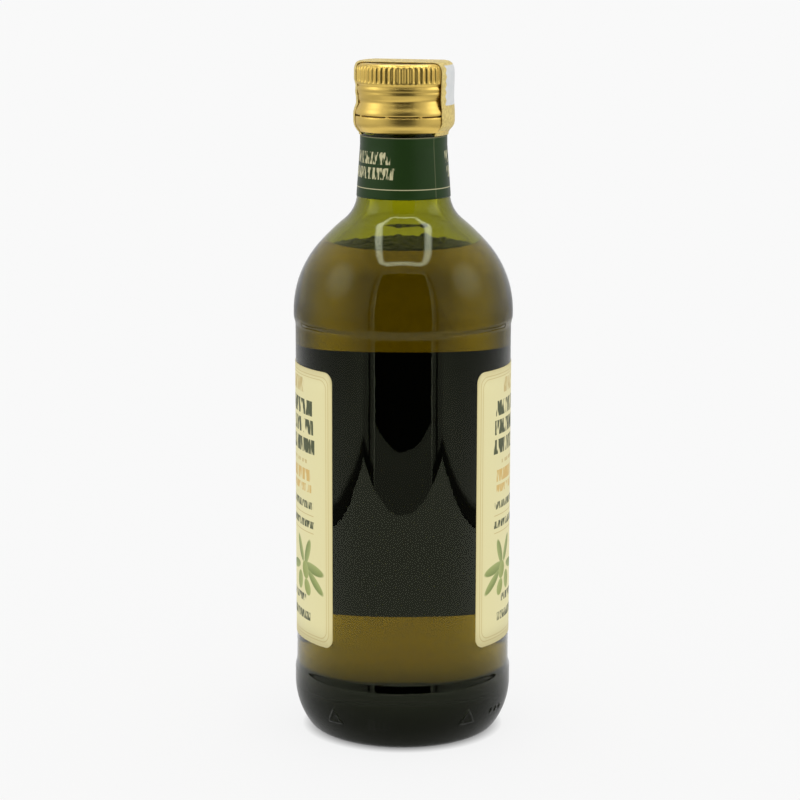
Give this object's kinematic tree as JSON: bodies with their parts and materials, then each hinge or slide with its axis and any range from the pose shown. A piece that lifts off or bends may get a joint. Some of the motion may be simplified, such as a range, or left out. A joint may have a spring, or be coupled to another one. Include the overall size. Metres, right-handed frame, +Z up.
{
  "type": "olive oil bottle",
  "caption": "Round green glass bottle of oil with a domed shoulder, a recessed panel with a cream wrap label, a green neck label, a gold rolled cap and a paper seal strip over the cap.",
  "frame": {"origin": "middle of the base, on the plane that the bottle stands on", "axes": "+Z up along the bottle's axis, -Y towards the front, where the gap between the label's ends shows the glass, +X to the right"},
  "size_m": [0.0724, 0.0724, 0.2234],
  "materials": {
    "green_glass": "clear olive-green container glass, fire-polished and glossy",
    "oil": "clear golden-green oil with a wet, glossy surface",
    "gold_metal": "satin gold lacquer over thin rolled sheet",
    "green_paper": "coated paper, dark green print with pale gold lines, soft sheen",
    "cream_paper": "uncoated cream paper with gold border lines and plain fields of print",
    "strip_paper": "thin pale yellow paper with a mottled tint and a silvery foil patch"
  },
  "bodies": {
    "root": {"bottle": "green_glass", "oil": "oil", "cap": "gold_metal", "neck_label": "green_paper", "body_label": "cream_paper", "seal_strip": "strip_paper"}
  },
  "joints": []
}
